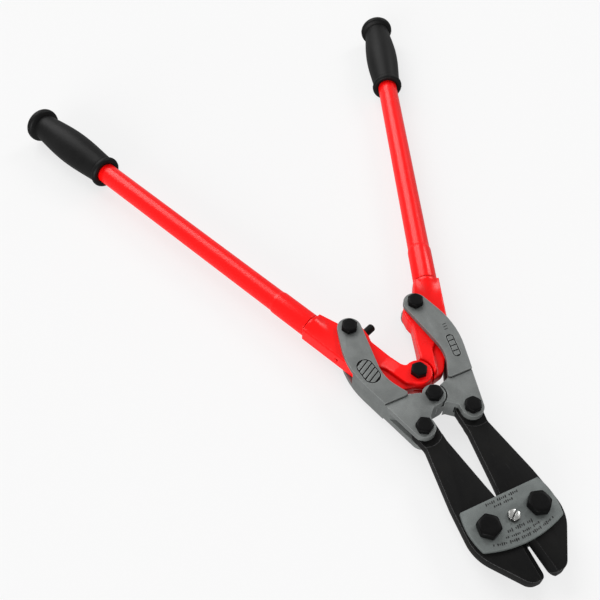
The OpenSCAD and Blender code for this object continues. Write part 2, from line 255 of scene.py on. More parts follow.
class Recipe:
    """One material: its graph of nodes, and the Principled shader that they feed."""

    def __init__(self, name: str, **constants: Any) -> None:
        """Starts a material.

        Args:
            name: The material's name.
            constants: Values for the shader's own sockets, with _ for a space.
        """
        self.material = bpy.data.materials.new(name)
        self.material.use_nodes = True
        self.tree = self.material.node_tree
        self.tree.nodes.clear()
        sockets = {key.replace("_", " "): value for key, value in constants.items()}
        self.shader = self.node("ShaderNodeBsdfPrincipled", {}, sockets)
        self.node("ShaderNodeOutputMaterial", {}, {"Surface": self.shader.outputs[0]})
        self.place = self.node("ShaderNodeTexCoord").outputs["Object"]

    def node(
        self, kind: str, settings: dict[str, Any] | None = None, sockets: dict[Any, Any] | None = None
    ) -> bpy.types.Node:
        """Adds any node.

        Args:
            kind: The node's type.
            settings: Its properties, set before its sockets.
            sockets: Values, sockets or Shades for its inputs, by name or number.

        Returns:
            The new node.
        """
        made = self.tree.nodes.new(kind)
        for key, value in (settings or {}).items():
            setattr(made, key, value)
        for key, value in (sockets or {}).items():
            if isinstance(value, Shade):
                value = value.socket
            if isinstance(value, bpy.types.NodeSocket):
                self.tree.links.new(value, made.inputs[key])
            else:
                made.inputs[key].default_value = value
        return made

    def noise(
        self, size: float, detail: float = 3.0, roughness: float = 0.5, stretch: Any = (1, 1, 1)
    ) -> Shade:
        """Cloudy noise fixed to the piece.

        Args:
            size: Size of its blotches.
            detail: Octaves of finer noise.
            roughness: How strong the finer octaves are.
            stretch: How many times finer it is along each axis.

        Returns:
            The noise, about 0.5.
        """
        moved = self.node("ShaderNodeMapping", {}, {"Vector": self.place, "Scale": stretch})
        made = self.node(
            "ShaderNodeTexNoise",
            {},
            {"Vector": moved.outputs[0], "Scale": 1 / size, "Detail": detail, "Roughness": roughness},
        )
        return Shade(self, made.outputs["Fac"])

    def grains(self, size: float) -> Shade:
        """Distance from the nearest of many scattered points, in cells of a size."""
        made = self.node("ShaderNodeTexVoronoi", {}, {"Vector": self.place, "Scale": 1 / size})
        return Shade(self, made.outputs["Distance"])

    def edges(self, radius: float, low: float = 0.02, high: float = 0.2) -> Shade:
        """A mask of edges: how far the normal, averaged over a radius, leans from the surface's own.

        Args:
            radius: Radius of the averaging.
            low: Lean at which the mask starts.
            high: Lean at which it is full.

        Returns:
            0 on open faces and 1 on edges.
        """
        rounded = self.node("ShaderNodeBevel", {"samples": 4}, {"Radius": radius}).outputs[0]
        flat = self.node("ShaderNodeNewGeometry").outputs["Normal"]
        dot = self.node("ShaderNodeVectorMath", {"operation": "DOT_PRODUCT"}, {0: rounded, 1: flat})
        return (1 - Shade(self, dot.outputs["Value"])).between(low, high)

    def crevice(self, reach: float, low: float = 0.25, high: float = 0.75) -> Shade:
        """A mask of crevices, for painting shade into them: how much of the view from the surface is closed within a
        reach.

        Args:
            reach: How far the surface looks.
            low: Closed share at which the mask starts.
            high: Closed share at which it is full.

        Returns:
            0 in the open and 1 in crevices.
        """
        view = self.node("ShaderNodeAmbientOcclusion", {"samples": 8}, {"Distance": reach})
        return (1 - Shade(self, view.outputs["AO"])).between(low, high)

    def blend(self, mask: Any, base: Any, top: Any) -> bpy.types.NodeSocket:
        """Mixes two colours.

        Args:
            mask: 0 gives the base and 1 the top.
            base: A colour or a colour socket.
            top: A colour or a colour socket.

        Returns:
            The mixed colour's socket.
        """
        made = self.node("ShaderNodeMix", {"data_type": "RGBA"}, {0: mask, 6: rgba(base), 7: rgba(top)})
        return made.outputs[2]

    def bump(self, height: Shade, depth: float) -> None:
        """Feeds the shader's normal from a height.

        Args:
            height: The relief, 0 to 1.
            depth: Its full depth.
        """
        made = self.node("ShaderNodeBump", {}, {"Height": height, "Distance": depth, "Strength": 1.0})
        self.feed("Normal", made.outputs[0])

    def feed(self, socket: str, value: Any) -> None:
        """Links a value to one of the shader's sockets."""
        source = value.socket if isinstance(value, Shade) else value
        self.tree.links.new(source, self.shader.inputs[socket])


def rgba(colour: Any) -> Any:
    """A colour with its alpha, or the socket that it already is."""
    return colour if isinstance(colour, bpy.types.NodeSocket) else (*colour, 1.0)


# ---------- finishes ----------


@dataclass(frozen=True)
class RedEnamel:
    """Thick stoved enamel: even red, faint orange peel, a deeper film in patches, and painted shade darkening its
    joints and crevices.
    """

    slot: Slot = Slot.RED
    paint: Colour = (0.96, 0.0042, 0.0042)
    deep: Colour = (0.80, 0.0022, 0.0026)
    painted_seam_shade: Colour = (0.10, 0.001, 0.001)
    roughness: float = 0.26

    def material(self) -> bpy.types.Material:
        """Mixes the enamel.

        Returns:
            The material.
        """
        mix = Recipe("red_enamel", Specular_IOR_Level=0.26)
        film = mix.noise(38 * MM, 4.0)
        fine = mix.noise(2.2 * MM, 2.0)
        edge = mix.edges(1.2 * MM, 0.05, 0.4)
        base = mix.blend(film.between(0.35, 0.75) * 0.5, self.paint, self.deep)
        coated = mix.blend(edge * 0.25, base, self.deep)
        # painted shade: joints and crevices are darkened by how closed in they are within a short reach
        mix.feed("Base Color", mix.blend(mix.crevice(1.6 * MM, 0.35, 0.8) * 0.85, coated, self.painted_seam_shade))
        mix.feed("Roughness", self.roughness + (film - 0.5) * 0.12)
        mix.bump(fine, 0.02 * MM)
        return mix.material


@dataclass(frozen=True)
class CastGrey:
    """Blasted steel under a thin grey film: fine grain, cloudy tone, bright rubbed edges, and painted shade in its
    corners and crevices.
    """

    slot: Slot = Slot.CAST
    steel: Colour = (0.155, 0.164, 0.160)
    dark: Colour = (0.108, 0.115, 0.112)
    bright: Colour = (0.46, 0.48, 0.47)
    painted_shade: Colour = (0.035, 0.037, 0.036)
    name: str = "cast_grey"
    grain: float = 0.45 * MM

    def material(self) -> bpy.types.Material:
        """Mixes the blasted steel.

        Returns:
            The material.
        """
        mix = Recipe(self.name, Metallic=0.35, Specular_IOR_Level=0.4)
        cloud = mix.noise(16 * MM, 5.0, 0.6)
        grit = mix.noise(self.grain, 2.0)
        edge = mix.edges(0.8 * MM)
        base = mix.blend(cloud.between(0.3, 0.7) * 0.6, self.steel, self.dark)
        speckled = mix.blend(grit.between(0.5, 0.75) * 0.22, base, self.bright)
        rubbed = mix.blend(edge * 0.8 * cloud.between(0.2, 0.6), speckled, self.bright)
        # painted shade: corners, crevices and the rings round the bolts are darkened by how closed in they are
        mix.feed("Base Color", mix.blend(mix.crevice(3 * MM) * 0.95, rubbed, self.painted_shade))
        mix.feed("Roughness", 0.52 + (cloud - 0.5) * 0.2 - edge * 0.12)
        mix.bump(grit * 0.7 + mix.noise(1.6 * MM, 2.0) * 0.6, 0.045 * MM)
        return mix.material


@dataclass(frozen=True)
class BladeBlack:
    """Hardened steel, blackened in oil: almost black, with a dull sheen and grey scuffs on its edges."""

    slot: Slot = Slot.BLADE
    oxide: Colour = (0.0040, 0.0040, 0.0041)
    brown: Colour = (0.0062, 0.0060, 0.0057)
    scuff: Colour = (0.12, 0.12, 0.12)

    def material(self) -> bpy.types.Material:
        """Mixes the black oxide.

        Returns:
            The material.
        """
        mix = Recipe("blade_black", Specular_IOR_Level=0.09)
        cloud = mix.noise(22 * MM, 5.0, 0.6)
        scratch = mix.noise(1.1 * MM, 2.0, 0.5, (1.0, 0.06, 1.0))
        edge = mix.edges(1.0 * MM, 0.01, 0.12)
        base = mix.blend(cloud.between(0.35, 0.7), self.oxide, self.brown)
        streaked = mix.blend(scratch.between(0.66, 0.84) * 0.1, base, self.scuff)
        worn = edge * (0.3 + cloud.between(0.25, 0.6) * 0.7)
        mix.feed("Base Color", mix.blend(worn, streaked, self.scuff))
        mix.feed("Roughness", 0.5 + (cloud - 0.5) * 0.25)
        mix.bump(mix.noise(0.7 * MM, 3.0) + scratch * 0.25, 0.03 * MM)
        return mix.material


@dataclass(frozen=True)
class BoltBlack:
    """Black-finished fasteners: forged skin, slightly glossier than the blades."""

    slot: Slot = Slot.BOLT
    oxide: Colour = (0.0018, 0.0018, 0.0019)
    scuff: Colour = (0.045, 0.045, 0.046)

    def material(self) -> bpy.types.Material:
        """Mixes the bolts' finish.

        Returns:
            The material.
        """
        mix = Recipe("black_bolt", Specular_IOR_Level=0.1)
        cloud = mix.noise(6 * MM, 4.0, 0.6)
        edge = mix.edges(0.5 * MM)
        mix.feed("Base Color", mix.blend(edge * cloud.between(0.3, 0.6) * 0.8, self.oxide, self.scuff))
        mix.feed("Roughness", 0.42 + (cloud - 0.5) * 0.3)
        mix.bump(mix.noise(0.5 * MM, 3.0), 0.025 * MM)
        return mix.material


@dataclass(frozen=True)
class BrightZinc:
    """Zinc plating: bright and cloudy on the outer faces, and darkened with painted shade in the screw's slot and
    towards the plates.
    """

    slot: Slot = Slot.ZINC
    tool_middle: float = 24 * MM
    slot_floor: float = 13.3 * MM
    slot_mouth: float = 15.0 * MM
    light: Colour = (0.56, 0.56, 0.54)
    dull: Colour = (0.36, 0.37, 0.36)
    painted_shade: Colour = (0.08, 0.08, 0.078)

    def material(self) -> bpy.types.Material:
        """Mixes the zinc.

        Returns:
            The material.
        """
        mix = Recipe("zinc", Metallic=0.95)
        cloud = mix.noise(2.5 * MM, 4.0, 0.6)
        height = Shade(mix, mix.node("ShaderNodeSeparateXYZ", {}, {0: mix.place}).outputs["Z"])
        outer = (height - self.tool_middle).size().between(self.slot_floor, self.slot_mouth)
        plating = mix.blend(cloud.between(0.35, 0.7) * 0.7, self.light, self.dull)
        # painted shade: near the tool's middle height, the screw's slot and the faces towards the plates are darkened
        mix.feed("Base Color", mix.blend(outer, self.painted_shade, plating))
        mix.feed("Roughness", 0.2 + cloud * 0.12)
        mix.bump(mix.noise(0.9 * MM, 2.0), 0.006 * MM)
        return mix.material


@dataclass(frozen=True)
class MouldedRubber:
    """Moulded rubber: a fine pebbled skin, dusty in cloudy patches."""

    slot: Slot = Slot.GRIP
    name: str = "grip_rubber"
    black: Colour = (0.0040, 0.0040, 0.0040)
    dusty: Colour = (0.0066, 0.0066, 0.0066)
    pebble: float = 0.8 * MM

    def material(self) -> bpy.types.Material:
        """Mixes the rubber.

        Returns:
            The material.
        """
        mix = Recipe(self.name, Specular_IOR_Level=0.13)
        cloud = mix.noise(30 * MM, 4.0, 0.6)
        skin = mix.grains(self.pebble)
        mix.feed("Base Color", mix.blend(cloud.between(0.3, 0.75), self.black, self.dusty))
        mix.feed("Roughness", 0.5 + (cloud - 0.5) * 0.18)
        mix.bump(skin + mix.noise(0.35 * MM, 2.0) * 0.5, 0.04 * MM)
        return mix.material


@dataclass(frozen=True)
class PaleFloor:
    """The studio's plain pale paper."""

    tone: Colour = (0.20, 0.20, 0.20)
    glow: float = 0.72

    def material(self) -> bpy.types.Material:
        """Mixes the paper, lit from behind as on a light table, so that shadows on it are faint.

        Returns:
            The material.
        """
        paper = {"Base_Color": rgba(self.tone), "Roughness": 0.9, "Specular_IOR_Level": 0.0}
        light = {"Emission_Color": rgba((1.0, 1.0, 1.0)), "Emission_Strength": self.glow}
        return Recipe("floor", **paper, **light).material


@dataclass
class Palette:
    """Every finish's material, mixed once."""

    made: dict[Slot, bpy.types.Material] = field(default_factory=dict)

    def __post_init__(self) -> None:
        """Mixes all the finishes."""
        plate_tones = (0.142, 0.157, 0.152), (0.100, 0.111, 0.108), (0.50, 0.53, 0.52)
        finishes = [
            RedEnamel(),
            CastGrey(),
            CastGrey(Slot.PLATE, *plate_tones, name="plate_grey"),
            BladeBlack(),
            BoltBlack(),
            BrightZinc(),
            MouldedRubber(),
            MouldedRubber(Slot.STOP, "stop_rubber", (0.003, 0.003, 0.003), (0.006, 0.006, 0.006), 0.5 * MM),
        ]
        self.made = {finish.slot: finish.material() for finish in finishes}

    def dress(self, piece: Piece, slot: Slot) -> None:
        """Gives a piece one finish and names its slot.

        Args:
            piece: A new piece.
            slot: Its finish.
        """
        piece.data.materials.clear()
        piece.data.materials.append(self.made[slot])
        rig.slot(piece, slot.value)

    def repaint(self, node: Piece, slot: Slot) -> None:
        """Gives a CAD node, which is shown as it is, one finish."""
        for part in node.material_slots:
            part.material = self.made[slot]


# ---------- meshes ----------


def shown(name: str, points: np.ndarray, faces: np.ndarray, crease: float = 30.0) -> Piece:
    """Puts points and faces in a new object at the origin.

    Args:
        name: The piece's name.
        points: Corner points, (n, 3).
        faces: Quads as point numbers, (m, 4); a quad may repeat a point to stand for a triangle.
        crease: Angle in degrees past which an edge is sharp.

    Returns:
        The new object.
    """
    mesh = bpy.data.meshes.new(name)
    mesh.from_pydata(points.tolist(), [], faces.tolist())
    tool = bmesh.new()
    tool.from_mesh(mesh)
    bmesh.ops.remove_doubles(tool, verts=tool.verts, dist=1e-7)
    bmesh.ops.dissolve_degenerate(tool, edges=tool.edges, dist=1e-7)
    bmesh.ops.recalc_face_normals(tool, faces=tool.faces)
    tool.to_mesh(mesh)
    tool.free()
    mesh.shade_smooth()
    mesh.set_sharp_from_angle(angle=math.radians(crease))
    piece = bpy.data.objects.new(name, mesh)
    bpy.context.scene.collection.objects.link(piece)
    return piece


def lattice(rows: int, columns: int, loop: bool) -> np.ndarray:
    """The quads between rows of points that each close on themselves.

    Args:
        rows: How many rows there are.
        columns: Points in a row.
        loop: Whether the last row joins the first.

    Returns:
        The quads' point numbers.
    """
    row = np.arange(rows if loop else rows - 1)[:, None]
    column = np.arange(columns)[None, :]
    here, after, beside = row * columns, (row + 1) % rows * columns, (column + 1) % columns
    quads = (here + column, here + beside, after + beside, after + column)
    return np.stack(quads, axis=-1).reshape(-1, 4)


@dataclass(frozen=True)
class Axis:
    """A line that round pieces are turned about."""

    foot: np.ndarray
    along: np.ndarray

    @classmethod
    def upright(cls, x: float, y: float, z: float) -> "Axis":
        """The vertical line through a point, with its foot there."""
        return cls(np.array([x, y, z]), UP)

    @classmethod
    def through(cls, node: Piece, towards: np.ndarray) -> "Axis":
        """The axis of a packed round piece: the longest direction of its points, through their middle.

        Args:
            node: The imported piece.
            towards: A direction on the same side as the axis's own.

        Returns:
            The axis, with its foot at the piece's first end.
        """
        points = np.unique(vertices(node).round(7), axis=0)
        middle = points.mean(0)
        along = np.linalg.svd(points - middle, full_matrices=False)[2][0]
        along *= np.sign(along @ towards)
        return cls(middle + along * ((points - middle) @ along).min(), along)

    def turned(self, radius: np.ndarray, height: np.ndarray, angle: np.ndarray) -> np.ndarray:
        """Points at a radius, a height along the axis and an angle about it, as arrays of one shape.

        Args:
            radius: Distances from the axis.
            height: Distances along it.
            angle: Angles about it; 0 is level, and along X where the axis is upright.

        Returns:
            The points, with their X, Y and Z along a new last axis.
        """
        upright = abs(self.along @ UP) > 0.9
        across = np.array([1.0, 0.0, 0.0]) if upright else np.cross(UP, self.along)
        across = across / np.linalg.norm(across)
        up = np.cross(self.along, across)
        spread = [height, radius * np.cos(angle), radius * np.sin(angle)]
        basis = [self.along, across, up]
        return self.foot + sum(part[..., None] * way for part, way in zip(spread, basis))


def spun(
    name: str, axis: Axis, radius: np.ndarray, height: np.ndarray, loop: bool = False, **look: Any
) -> Piece:
    """A surface of rings about an axis: radius and height are (rows, columns), with columns round the axis.

    Args:
        name: The piece's name.
        axis: What it is spun about.
        radius: Each point's distance from the axis; a row of zeros closes an end.
        height: Each point's distance along it.
        loop: Whether the last ring joins the first.
        look: Passed on to shown.

    Returns:
        The new piece.
    """
    rows, columns = radius.shape
    angle = np.broadcast_to(np.arange(columns) * FULL_TURN / columns, radius.shape)
    points = axis.turned(radius, np.broadcast_to(height, radius.shape), angle).reshape(-1, 3)
    return shown(name, points, lattice(rows, columns, loop), **look)


def profile_spun(
    name: str, axis: Axis, profile: np.ndarray, columns: int, loop: bool = False, **look: Any
) -> Piece:
    """Spins a (radius, height) profile into a surface of revolution.

    Args:
        name: The piece's name.
        axis: What it is spun about.
        profile: The (radius, height) points, in order.
        columns: Points in a ring.
        loop: Whether the profile closes on itself.
        look: Passed on to shown.

    Returns:
        The new piece.
    """
    wide = np.ones((1, columns))
    return spun(name, axis, profile[:, :1] * wide, profile[:, 1:] * wide, loop, **look)


def arc(
    centre: tuple[float, float], radius: tuple[float, float], start: float, end: float, count: int
) -> np.ndarray:
    """Points on an elliptical arc in a (radius, height) drawing.

    Args:
        centre: The ellipse's centre.
        radius: Its half widths.
        start: First angle in degrees.
        end: Last angle.
        count: How many points.

    Returns:
        The points.
    """
    turn = np.radians(np.linspace(start, end, count))
    return np.array(centre) + np.array(radius) * np.stack([np.cos(turn), np.sin(turn)], axis=1)


def clean_copy(node: str) -> Piece:
    """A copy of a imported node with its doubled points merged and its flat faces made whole.

    Args:
        node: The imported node.

    Returns:
        The new object, named for the node.
    """
    name = f"{node}_look"
    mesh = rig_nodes()[node].data.copy()
    mesh.name = name
    tool = bmesh.new()
    tool.from_mesh(mesh)
    bmesh.ops.remove_doubles(tool, verts=tool.verts, dist=2e-6)
    bmesh.ops.dissolve_degenerate(tool, edges=tool.edges, dist=2e-6)
    bmesh.ops.dissolve_limit(tool, angle_limit=math.radians(0.5), verts=tool.verts, edges=tool.edges)
    tool.to_mesh(mesh)
    tool.free()
    piece = bpy.data.objects.new(name, mesh)
    bpy.context.scene.collection.objects.link(piece)
    return piece


def settled(piece: Piece) -> Piece:
    """Fixes a piece's modifiers into its mesh.

    Args:
        piece: The piece, changed in place.

    Returns:
        The same piece.
    """
    graph = bpy.context.evaluated_depsgraph_get()
    mesh = bpy.data.meshes.new_from_object(piece.evaluated_get(graph))
    piece.modifiers.clear()
    piece.data = mesh
    return piece


def machined(node: str, edge: float) -> Piece:
    """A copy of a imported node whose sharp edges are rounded.

    Args:
        node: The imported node.
        edge: Radius of the edges.

    Returns:
        The new piece.
    """
    piece = clean_copy(node)
    bevel = piece.modifiers.new("edges", "BEVEL")
    bevel.width = edge
    bevel.segments = 3
    bevel.limit_method = "ANGLE"
    bevel.angle_limit = math.radians(28)
    bevel.miter_outer = "MITER_ARC"
    piece = settled(piece)
    piece.data.shade_smooth()
    piece.data.set_sharp_from_angle(angle=math.radians(28))
    return piece


def cast(node: str, skin: float, passes: int, share: float) -> Piece:
    """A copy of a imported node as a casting: every edge and corner flows into the next face.

    A fine even skin is laid over the node, and each point is then moved towards its neighbours' mean.

    Args:
        node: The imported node.
        skin: Size of the skin's squares.
        passes: How often the points are evened out.
        share: Part of the triangles kept, those on curved faces.

    Returns:
        The new piece.
    """
    piece = clean_copy(node)
    remesh = piece.modifiers.new("skin", "REMESH")
    remesh.mode = "VOXEL"
    remesh.voxel_size = skin
    smooth = piece.modifiers.new("flow", "SMOOTH")
    smooth.factor = 0.5
    smooth.iterations = passes
    thin = piece.modifiers.new("thin", "DECIMATE")
    thin.ratio = share
    piece = settled(piece)
    piece.data.shade_smooth()
    return piece


def bars(name: str, at: np.ndarray, turn: np.ndarray, half: np.ndarray, sink: float, proud: float) -> Piece:
    """Low rounded bars on a level face, all in one piece.

    Each bar is four rings of the superellipse |x/a|^4 + |y/b|^4 = 1, at 1, 1, 0.9 and 0.55 of its size, from
    below the face to its crown, closed by a point at each end.

    Args:
        name: The piece's name.
        at: Each bar's middle on the face, (n, 3).
        turn: Each bar's turn about Z, in radians.
        half: Each bar's half length and half width, (n, 2).
        sink: How far the bars reach below the face.
        proud: How far they stand above it.

    Returns:
        The new piece.
    """
    round_it = np.arange(20) * FULL_TURN / 20
    cosine, sine = np.cos(round_it), np.sin(round_it)
    ring = np.stack([np.sign(cosine) * np.abs(cosine) ** 0.5, np.sign(sine) * np.abs(sine) ** 0.5])
    share = np.array([0, 1, 1, 0.9, 0.55, 0])
    height = np.array([-sink, -sink, proud * 0.55, proud * 0.9, proud, proud])
    flat = share[None, :, None, None] * ring.T[None, None] * half[:, None, None, :]
    c, s = np.cos(turn)[:, None, None], np.sin(turn)[:, None, None]
    x, y = flat[..., 0], flat[..., 1]
    z = np.broadcast_to(height[None, :, None], x.shape)
    points = np.stack([x * c - y * s, x * s + y * c, z], axis=-1) + at[:, None, None, :]
    one = lattice(len(share), len(round_it), False)
    faces = one[None] + (np.arange(len(at)) * len(share) * len(round_it))[:, None, None]
    return shown(name, points.reshape(-1, 3), faces.reshape(-1, 4), crease=60)


def eased(piece: Piece, weight: np.ndarray, passes: int) -> Piece:
    """Evens out part of a mesh: each pass moves a point towards its neighbours' mean, by half its weight.

    Args:
        piece: The piece, which is changed.
        weight: How far each point takes part, 0 to 1.
        passes: How many passes there are.

    Returns:
        The same piece.
    """
    mesh = piece.data
    ends = np.empty(len(mesh.edges) * 2, dtype=np.int32)
    mesh.edges.foreach_get("vertices", ends)
    points = vertices(piece)
    count = len(points)
    pairs = ends.reshape(-1, 2)
    near = np.concatenate([pairs, pairs[:, ::-1]])
    share = 0.5 * weight / np.maximum(np.bincount(near[:, 0], minlength=count), 1)
    for _ in range(passes):
        step = points[near[:, 1]] - points[near[:, 0]]
        moved = [np.bincount(near[:, 0], weights=step[:, k], minlength=count) for k in range(3)]
        points = points + share[:, None] * np.stack(moved, axis=1)
    mesh.vertices.foreach_set("co", points.ravel())
    mesh.update()
    return piece


def vertices(piece: Piece) -> np.ndarray:
    """A mesh's points.

    Args:
        piece: The piece.

    Returns:
        The points, one row each.
    """
    points = np.empty(len(piece.data.vertices) * 3)
    piece.data.vertices.foreach_get("co", points)
    return points.reshape(-1, 3)


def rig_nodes() -> dict[str, Piece]:
    """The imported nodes' objects by name."""
    return {o["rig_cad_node"]: o for o in bpy.data.objects if "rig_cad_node" in o}


def middle(node: str) -> np.ndarray:
    """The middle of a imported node's box."""
    low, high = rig.box(node)
    return (np.array(low) + np.array(high)) / 2


def joined(name: str, parts: list[Piece]) -> Piece:
    """One object that holds several.

    Args:
        name: Its name.
        parts: The objects, which are used up.

    Returns:
        The first of them, with the others' meshes in it.
    """
    with bpy.context.temp_override(active_object=parts[0], selected_editable_objects=parts):
        bpy.ops.object.join()
    parts[0].name = name
    parts[0].data.name = name
    return parts[0]


def pivot(kind: str, side: Side) -> np.ndarray:
    """The place of a body's joint.

    Args:
        kind: Start of the body's name: blade, link or handle.
        side: Which side's body.

    Returns:
        The point, in metres.
    """
    wanted = side.node(kind)
    for joint in frame["joints"]:
        if joint["child"] == wanted:
            return np.array(joint["pos_m"])
    raise LookupError(wanted)


def ramp(distance: np.ndarray, over: float) -> np.ndarray:
    """Climbs evenly from 0, where the distance is 0, to 1, where it has reached another."""
    return np.clip(distance / over, 0, 1)


def extent(node: Piece, axis: Axis) -> float:
    """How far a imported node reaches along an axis, from the axis's foot."""
    return float(((vertices(node) - axis.foot) @ axis.along).max())


def middle_on(axis: Axis, node: Piece) -> np.ndarray:
    """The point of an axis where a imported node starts."""
    return axis.foot + axis.along * ((vertices(node) - axis.foot) @ axis.along).min()


# ---------- fasteners ----------


@dataclass(frozen=True)
class Hexagon:
    """A hexagon with softened corners, chamfered where it ends."""

    flats: float
    softness: float = 46.0
    chamfer_share: float = 0.47
    washer_share: float = 0.475
    slope: float = 0.52

    def radius(self, angle: np.ndarray, cone: np.ndarray) -> np.ndarray:
        """The soft minimum of the three pairs of flats and a cone's radius.

        1/r is the p-norm of cos(angle - k * 60 degrees) / half the flats, for k = 0, 1, 2, and of 1/cone.

        Args:
            angle: Angles about the axis.
            cone: The chamfer cone's radius at each height.

        Returns:
            The radius at each height and angle.
        """
        half = self.flats / 2
        sides = [np.abs(np.cos(angle - k * math.pi / 3)) / half for k in range(3)]
        total = sum(side**self.softness for side in sides) + (1 / cone) ** self.softness
        return total ** (-1 / self.softness)

    def cone(self, depth: np.ndarray) -> np.ndarray:
        """The chamfer cone's radius at a depth below the hexagon's end."""
        return self.flats * self.chamfer_share + depth / self.slope


@dataclass(frozen=True)
class Thread:
    """A V thread cut on a shank."""

    radius: float
    pitch: float
    depth_share: float = 0.55
    tip_share: float = 0.82

    def surface(self, height: np.ndarray, angle: np.ndarray, end: float) -> np.ndarray:
        """The radius of a screw: the major radius less a triangle wave of height / pitch - turns.

        A 45 degree chamfer leads in at height 0, and the groove fades out over the last turn.

        Args:
            height: Heights along the axis.
            angle: Angles about it.
            end: Height at which it runs out.

        Returns:
            The radius at each height and angle.
        """
        wave = np.abs(((height / self.pitch - angle / FULL_TURN) % 1.0) * 2 - 1)
        fade = np.clip((end - height) / self.pitch, 0, 1)
        lead = np.minimum(self.radius, self.radius * self.tip_share + height)
        return np.minimum(self.radius - self.depth_share * self.pitch * wave * fade, lead)


@dataclass(frozen=True)
class Fastener:
    """The sizes of a hexagon bolt and its nut, and their surfaces."""

    hexagon: Hexagon
    thread: Thread
    columns: int = 72
    gap: float = 0.12 * MM
    washer_rise: float = 0.35 * MM
    chamfer: float = 1.2 * MM
    dome: float = 0.12 * MM
    bore_play: float = 0.05 * MM
    mouth: float = 0.5 * MM

    def angles(self, turn: float) -> np.ndarray:
        """Angles round the axis, measured from the hexagon's first flat, in one row."""
        return (np.arange(self.columns) * FULL_TURN / self.columns)[None, :] - math.radians(turn)

    def bolt(self, name: str, axis: Axis, seat: float, top: float, nut_top: float, turn: float) -> Piece:
        """A bolt from its threaded end, at the axis's foot, to the top of its head.

        The rings run up the thread, shank, washer face, hexagon and chamfer, and in over the top.

        Args:
            name: The piece's name.
            axis: Its upright axis, with the foot at the lower end.
            seat: Height of the head's underside above the foot.
            top: Height of the head's top.
            nut_top: Height at which the thread runs out.
            turn: Turn of the head in degrees.

        Returns:
            The new piece.
        """
        angle = self.angles(turn)
        flat = np.ones_like(angle)
        shank = self.thread.radius
        threaded = np.arange(0, nut_top, self.thread.pitch / 6)[:, None]
        washer = self.hexagon.flats * self.hexagon.washer_share
        sides = np.linspace(top - seat - self.washer_rise, 1.25 * self.chamfer, 3)
        depth = np.concatenate([sides, np.linspace(self.chamfer, 0, 9)])[:, None]
        hexed = self.hexagon.radius(angle, self.hexagon.cone(depth))
        crown = np.linspace(1, 0, 5)[1:, None]
        rings = [
            (0.0, 0.0),
            (self.thread.surface(threaded, angle, nut_top), threaded),
            (shank, nut_top),
            (shank, seat),
            (washer, seat),
            (washer, seat + self.washer_rise),
            (hexed, top - depth),
            (hexed[-1:] * crown, top + self.dome * (1 - crown**2)),
        ]
        radius, height = (np.concatenate([part * flat for part in column]) for column in zip(*rings))
        return spun(name, axis, radius, height, crease=38)

    def nut(self, name: str, axis: Axis, high: float, turn: float) -> Piece:
        """A nut, chamfered at both ends and bored through, from the axis's foot up.

        It stops a gap below the face that it is tightened against, so that a turning piece clears it.

        Args:
            name: The piece's name.
            axis: Its upright axis, with the foot on its lower face.
            high: Height of the face above the foot.
            turn: Its turn in degrees.

        Returns:
            The new piece.
        """
        high = high - self.gap
        angle = self.angles(turn)
        flat = np.ones_like(angle)
        ends = np.linspace(0, self.chamfer, 8)
        heights = np.concatenate([ends, high - ends[::-1]])[:, None]
        depth = np.minimum(heights, high - heights)
        hexed = self.hexagon.radius(angle, self.hexagon.cone(depth))
        hole = self.thread.radius + self.bore_play
        mouth = hole + self.mouth
        rings = [(mouth, 0.0), (hexed, heights), (mouth, high), (hole, high - self.mouth), (hole, self.mouth)]
        radius, height = (np.concatenate([part * flat for part in column]) for column in zip(*rings))
        return spun(name, axis, radius, height, loop=True, crease=38)


SMALL_BOLT = Fastener(Hexagon(17 * MM), Thread(5 * MM, 1.5 * MM))
SLIM_BOLT = Fastener(Hexagon(17 * MM), Thread(4.55 * MM, 1.5 * MM))
LARGE_BOLT = Fastener(Hexagon(22 * MM), Thread(7 * MM, 2 * MM))


# ---------- sub-assemblies ----------


@dataclass
class Builder:
    """What every sub-assembly needs: the finishes, and the way a piece is entered in the frame."""

    palette: Palette

    def enter(self, piece: Piece, body: str, slot: Slot, *nodes: str) -> Piece:
        """Dresses a piece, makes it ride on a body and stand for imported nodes.

        Args:
            piece: The new piece.
            body: The body that it moves with.
            slot: Its finish.
            nodes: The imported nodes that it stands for.

        Returns:
            The same piece.
        """
        self.palette.dress(piece, slot)
        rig.ride(piece, body)
        if nodes:
            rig.replaces(piece, *nodes)
        log.info("%s: %d faces on %s", piece.name, len(piece.data.polygons), body)
        return piece

    def bolt(self, fastener: Fastener, node: str, body: str, seat: float, nut: str, turn: float) -> None:
        """Builds a bolt in the place of a packed one.

        Args:
            fastener: Its sizes.
            node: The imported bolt.
            body: The body that it moves with.
            seat: Height of the face that its head sits on.
            nut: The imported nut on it.
            turn: Turn of its head in degrees.
        """
        low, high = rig.box(node)
        at = middle(node)
        axis = Axis.upright(at[0], at[1], low.z)
        nut_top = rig.box(nut)[1].z - low.z
        piece = fastener.bolt(f"{node}_look", axis, seat - low.z, high.z - low.z, nut_top, turn)
        self.enter(piece, body, Slot.BOLT, node)

    def nut(self, fastener: Fastener, node: str, body: str, turn: float) -> None:
        """Builds a nut in the place of a packed one.

        Args:
            fastener: Its sizes.
            node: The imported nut.
            body: The body that it moves with.
            turn: Its turn in degrees.
        """
        low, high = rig.box(node)
        at = middle(node)
        piece = fastener.nut(f"{node}_look", Axis.upright(at[0], at[1], low.z), high.z - low.z, turn)
        self.enter(piece, body, Slot.BOLT, node)


